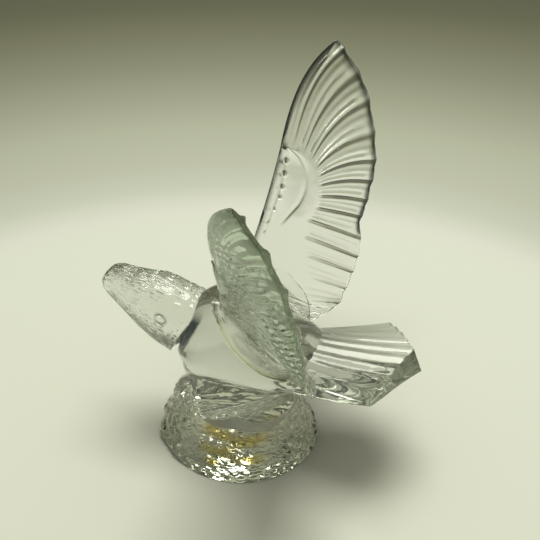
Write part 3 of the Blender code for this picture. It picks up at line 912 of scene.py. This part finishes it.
# Painted shade on the tail's underside.
def paint_tail_shade(points, normals, tint):
    x, y, z = points.T
    under = smooth(*TAIL_UNDER_START, y) * smooth(*TAIL_UNDER_SIDE, np.abs(x))
    under *= smooth(*TAIL_UNDER_FACING, normals[:, 2])
    under *= smooth(*TAIL_UNDER_LOW, z) * smooth(*TAIL_UNDER_HIGH, z)
    stain_and_shade(tint, TAIL_UNDER_PAINTED_SHADE, under)


# The casting: the forms are pressed in one mould, so they are fused into one skin of glass. The body's own
# forms are melted together first, so the creases between them come out rounded, as in a worn mould.
MELT_SIZE = 1.0 * MM
MELT_PASSES = 4
MELT_SOFTNESS = 0.5
CREASE_ANGLE = math.radians(38.0)


def settled(solid):
    """Bakes a form's modifiers into its mesh."""
    bpy.context.view_layer.update()
    depsgraph = bpy.context.evaluated_depsgraph_get()
    data = bpy.data.meshes.new_from_object(solid.evaluated_get(depsgraph))
    solid.modifiers.clear()
    solid.data = data
    return solid


def fused(solid, others, operation="UNION"):
    """Joins the other forms to a solid, or cuts them out of it, and leaves only the solid."""
    for other in others:
        join = solid.modifiers.new("join", "BOOLEAN")
        join.operation = operation
        join.solver = "MANIFOLD"
        join.object = other
    settled(solid)
    for other in others:
        bpy.data.objects.remove(other, do_unlink=True)
    return solid


body = fused(torso(), [breast(), wing_root(1), wing_root(-1)])
melt = body.modifiers.new("melt", "REMESH")
melt.mode = "VOXEL"
melt.voxel_size = MELT_SIZE
soften = body.modifiers.new("soften", "SMOOTH")
soften.factor = MELT_SOFTNESS
soften.iterations = MELT_PASSES
settled(body)
casting = fused(rock(), [body, leg(1), leg(-1), head(), eye(1), eye(-1), wing(1), wing(-1), tail()])
fused(casting, [collar(), wing_groove(1), wing_groove(-1)], "DIFFERENCE")
casting.name = "crystal_casting"
casting.data.shade_smooth()
casting.data.set_sharp_from_angle(angle=CREASE_ANGLE)


def read(kind):
    """Three numbers for each point of the casting."""
    values = np.empty(len(casting.data.vertices) * 3)
    casting.data.vertices.foreach_get(kind, values)
    return values.reshape(-1, 3)


def keep(name, columns):
    """Keeps four columns of numbers with the casting's points, for its material to read."""
    kept = casting.data.color_attributes.new(name, "FLOAT_COLOR", "POINT")
    kept.data.foreach_set("color", np.column_stack(columns).ravel())


points = read("co") / MM
normals = read("normal")
tint = np.ones_like(points)
tint_rock(points, tint)
tint_roots(points, tint)
paint_wing_shade(points, normals, tint)
paint_tail_shade(points, normals, tint)
paint_head_shade(points, tint)
nothing = np.zeros(len(points))
keep("tint", (tint, nothing + 1.0))

phase = nothing.copy()
strength = nothing.copy()
ripples = [root_streaks(side, points) for side in (1, -1)]
ripples += [wing_arcs(points, normals), head_strokes(points)]
for own_phase, own_strength in ripples:
    phase = np.where(own_strength > strength, own_phase, phase)
    strength = np.maximum(own_strength, strength)
keep("streaks", (phase, strength, nothing, nothing))


# The glass: clear crystal, faintly green where it is thick, and stained and painted with shade where the
# casting's points say. Its polished surface wavers a little, and the streaks, arcs and strokes are shallow
# ripples in it.
GLASS_IOR = 1.53
GLASS_TINT = (0.9034, 0.9165, 0.893, 1.0)
GLASS_DENSITY = 60.0
WAVER_SCALE = 90.0
WAVER_DETAIL = 2.0
WAVER_HEIGHT = 0.3
STREAK_TURN = 6.5
STREAK_WANDER = 9.0
STREAK_HEIGHT = 0.07
RELIEF_DISTANCE = 0.0010


class Shade:
    """A shader socket that is reckoned with like a number: an expression on it adds its Math nodes."""

    def __init__(self, socket):
        self.socket = socket

    @staticmethod
    def node(tree, kind, settings, inputs):
        """Adds a node with its settings, then its sockets' values or links, and wraps its first output."""
        made = tree.nodes.new(kind)
        for name, setting in settings.items():
            if name != "stops":
                setattr(made, name, setting)
                continue
            ramp = made.color_ramp.elements
            while len(ramp) < len(setting):
                ramp.new(0.5)
            for stop, (place, colour) in zip(ramp, setting):
                stop.position = place
                stop.color = (*colour, 1.0)
        for name, given in inputs.items():
            if isinstance(given, Shade):
                tree.links.new(given.socket, made.inputs[name])
            else:
                made.inputs[name].default_value = given
        return Shade(made.outputs[0]) if len(made.outputs) else None

    def out(self, name):
        """Another output of the same node."""
        return Shade(self.socket.node.outputs[name])

    def maths(self, operation, *others):
        values = dict(enumerate((self, *others)))
        return Shade.node(self.socket.id_data, "ShaderNodeMath", {"operation": operation}, values)

    def sine(self):
        return self.maths("SINE")

    def __add__(self, other):
        return self.maths("ADD", other)

    def __mul__(self, other):
        return self.maths("MULTIPLY", other)

    __radd__ = __add__
    __rmul__ = __mul__


def material(name):
    """A new material with an empty node tree, and that tree."""
    made = bpy.data.materials.new(name)
    made.use_nodes = True
    made.node_tree.nodes.clear()
    return made, made.node_tree


crystal, tree = material("clear_crystal")
place = Shade.node(tree, "ShaderNodeTexCoord", {}, {}).out("Object")
waver = Shade.node(tree, "ShaderNodeTexNoise", {}, {
    "Vector": place,
    "Scale": WAVER_SCALE,
    "Detail": WAVER_DETAIL,
})
stains_and_shade = Shade.node(tree, "ShaderNodeAttribute", {"attribute_name": "tint"}, {})
marks = Shade.node(tree, "ShaderNodeAttribute", {"attribute_name": "streaks"}, {})
marks = Shade.node(tree, "ShaderNodeSeparateColor", {}, {0: marks})
ripple = (marks.out("Red") * STREAK_TURN + waver * STREAK_WANDER).sine() * marks.out("Green")
relief = Shade.node(tree, "ShaderNodeBump", {}, {
    "Strength": 1.0,
    "Distance": RELIEF_DISTANCE,
    "Height": ripple * STREAK_HEIGHT + waver * WAVER_HEIGHT,
})
surface = Shade.node(tree, "ShaderNodeBsdfPrincipled", {}, {
    "Base Color": stains_and_shade,
    "Roughness": 0.0,
    "IOR": GLASS_IOR,
    "Transmission Weight": 1.0,
    "Normal": relief,
})
depth = Shade.node(tree, "ShaderNodeVolumeAbsorption", {}, {"Color": GLASS_TINT, "Density": GLASS_DENSITY})
Shade.node(tree, "ShaderNodeOutputMaterial", {}, {"Surface": surface, "Volume": depth})
casting.data.materials.clear()
casting.data.materials.append(crystal)
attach(casting, "root")
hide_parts("crystal_eagle")


# The floor: a pale sheet whose colour is painted darker far behind the piece, a painted shade. A small disc
# of it under the base glows faintly, a painted light in place of the light that comes down through the glass.
FLOOR_RADIUS = 4.0
FLOOR_TURNS = 96
FLOOR_DROP = 0.0003
FLOOR_MIDDLE = (0.02, 0.0, 0.0)
FLOOR_ROUGHNESS = 0.9
FLOOR_SHEEN = 0.1
# Painted shade: the floor's colour falls from pale near the piece to dark far behind it.
FLOOR_TONES_AND_SHADE = (
    # distance from the piece in metres, tone
    (0.00, (0.73, 0.74, 0.66)),
    (0.235, (0.73, 0.75, 0.68)),
    (0.26, (0.72, 0.73, 0.68)),
    (0.30, (0.58, 0.60, 0.53)),
    (0.34, (0.52, 0.54, 0.46)),
    (0.42, (0.47, 0.49, 0.40)),
    (0.50, (0.39, 0.40, 0.32)),
    (0.60, (0.30, 0.31, 0.235)),
    (0.72, (0.235, 0.24, 0.17)),
    (0.85, (0.18, 0.185, 0.125)),
    (1.00, (0.17, 0.175, 0.13)),
)
LIT_SPOT_RADIUS = 0.033
LIT_SPOT_TURNS = 64
LIT_SPOT_DROP = 0.0002
LIT_SPOT_COLOUR = (1.0, 1.0, 0.82, 1.0)
LIT_SPOT_GLOW = 0.16


def disc(name, radius, segments, drop, finish):
    """A flat round sheet lying just under the piece."""
    mesh = bmesh.new()
    bmesh.ops.create_circle(mesh, cap_ends=True, segments=segments, radius=radius)
    data = bpy.data.meshes.new(name)
    mesh.to_mesh(data)
    mesh.free()
    data.materials.append(finish)
    sheet = bpy.data.objects.new(name, data)
    sheet.location.z = -drop
    scene.collection.objects.link(sheet)
    return sheet


pale_sheet, tree = material("pale_sheet")
place = Shade.node(tree, "ShaderNodeTexCoord", {}, {}).out("Object")
far = Shade.node(tree, "ShaderNodeVectorMath", {"operation": "DISTANCE"}, {0: place, 1: FLOOR_MIDDLE})
tones = Shade.node(tree, "ShaderNodeValToRGB", {"stops": FLOOR_TONES_AND_SHADE}, {"Fac": far.out("Value")})
surface = Shade.node(tree, "ShaderNodeBsdfPrincipled", {}, {
    "Base Color": tones,
    "Roughness": FLOOR_ROUGHNESS,
    "Specular IOR Level": FLOOR_SHEEN,
})
Shade.node(tree, "ShaderNodeOutputMaterial", {}, {"Surface": surface})
floor = disc("floor", FLOOR_RADIUS, FLOOR_TURNS, FLOOR_DROP, pale_sheet)

lit_sheet, tree = material("lit_sheet")
surface = Shade.node(tree, "ShaderNodeBsdfPrincipled", {}, {
    "Base Color": (*FLOOR_TONES_AND_SHADE[0][1], 1.0),
    "Roughness": FLOOR_ROUGHNESS,
    "Emission Color": LIT_SPOT_COLOUR,
    "Emission Strength": LIT_SPOT_GLOW,
})
Shade.node(tree, "ShaderNodeOutputMaterial", {}, {"Surface": surface})
lit_spot = disc("lit_spot", LIT_SPOT_RADIUS, LIT_SPOT_TURNS, LIT_SPOT_DROP, lit_sheet)


# The light: one broad soft lamp almost overhead and a dim room around it, brighter above than below. Light
# may pass many faces of the glass before it is given up, and throws no bright patterns through it.
LAMP_SIZE = 0.60
LAMP_PLACE = (-0.16, 0.02, 1.1)
LAMP_POWER = 8.6
LAMP_COLOUR = (1.0, 1.0, 0.90)
ROOM_BLUE = 0.80
ROOM_TONES = (
    # height of the way looked, from 0 straight down to 1 straight up, brightness
    (0.45, 0.05),
    (0.60, 0.10),
    (0.80, 0.32),
    (1.00, 0.62),
)
BOUNCES = 40

lamp_data = bpy.data.lights.new("overhead_lamp", "AREA")
lamp_data.shape = "SQUARE"
lamp_data.size = LAMP_SIZE
lamp_data.energy = LAMP_POWER
lamp_data.color = LAMP_COLOUR
lamp = bpy.data.objects.new("overhead_lamp", lamp_data)
lamp.location = LAMP_PLACE
scene.collection.objects.link(lamp)

room = bpy.data.worlds.new("room")
room.use_nodes = True
tree = room.node_tree
tree.nodes.clear()
way = Shade.node(tree, "ShaderNodeTexCoord", {}, {})
upward = Shade.node(tree, "ShaderNodeSeparateXYZ", {}, {0: way}).out("Z") * 0.5 + 0.5
greys = [(height, (bright, bright, bright * ROOM_BLUE)) for height, bright in ROOM_TONES]
tones = Shade.node(tree, "ShaderNodeValToRGB", {"stops": greys}, {"Fac": upward})
glow = Shade.node(tree, "ShaderNodeBackground", {}, {"Color": tones})
Shade.node(tree, "ShaderNodeOutputWorld", {}, {"Surface": glow})
scene.world = room
scene.cycles.max_bounces = BOUNCES
scene.cycles.glossy_bounces = BOUNCES
scene.cycles.transmission_bounces = BOUNCES
scene.cycles.caustics_refractive = False
scene.view_settings.view_transform = "Standard"
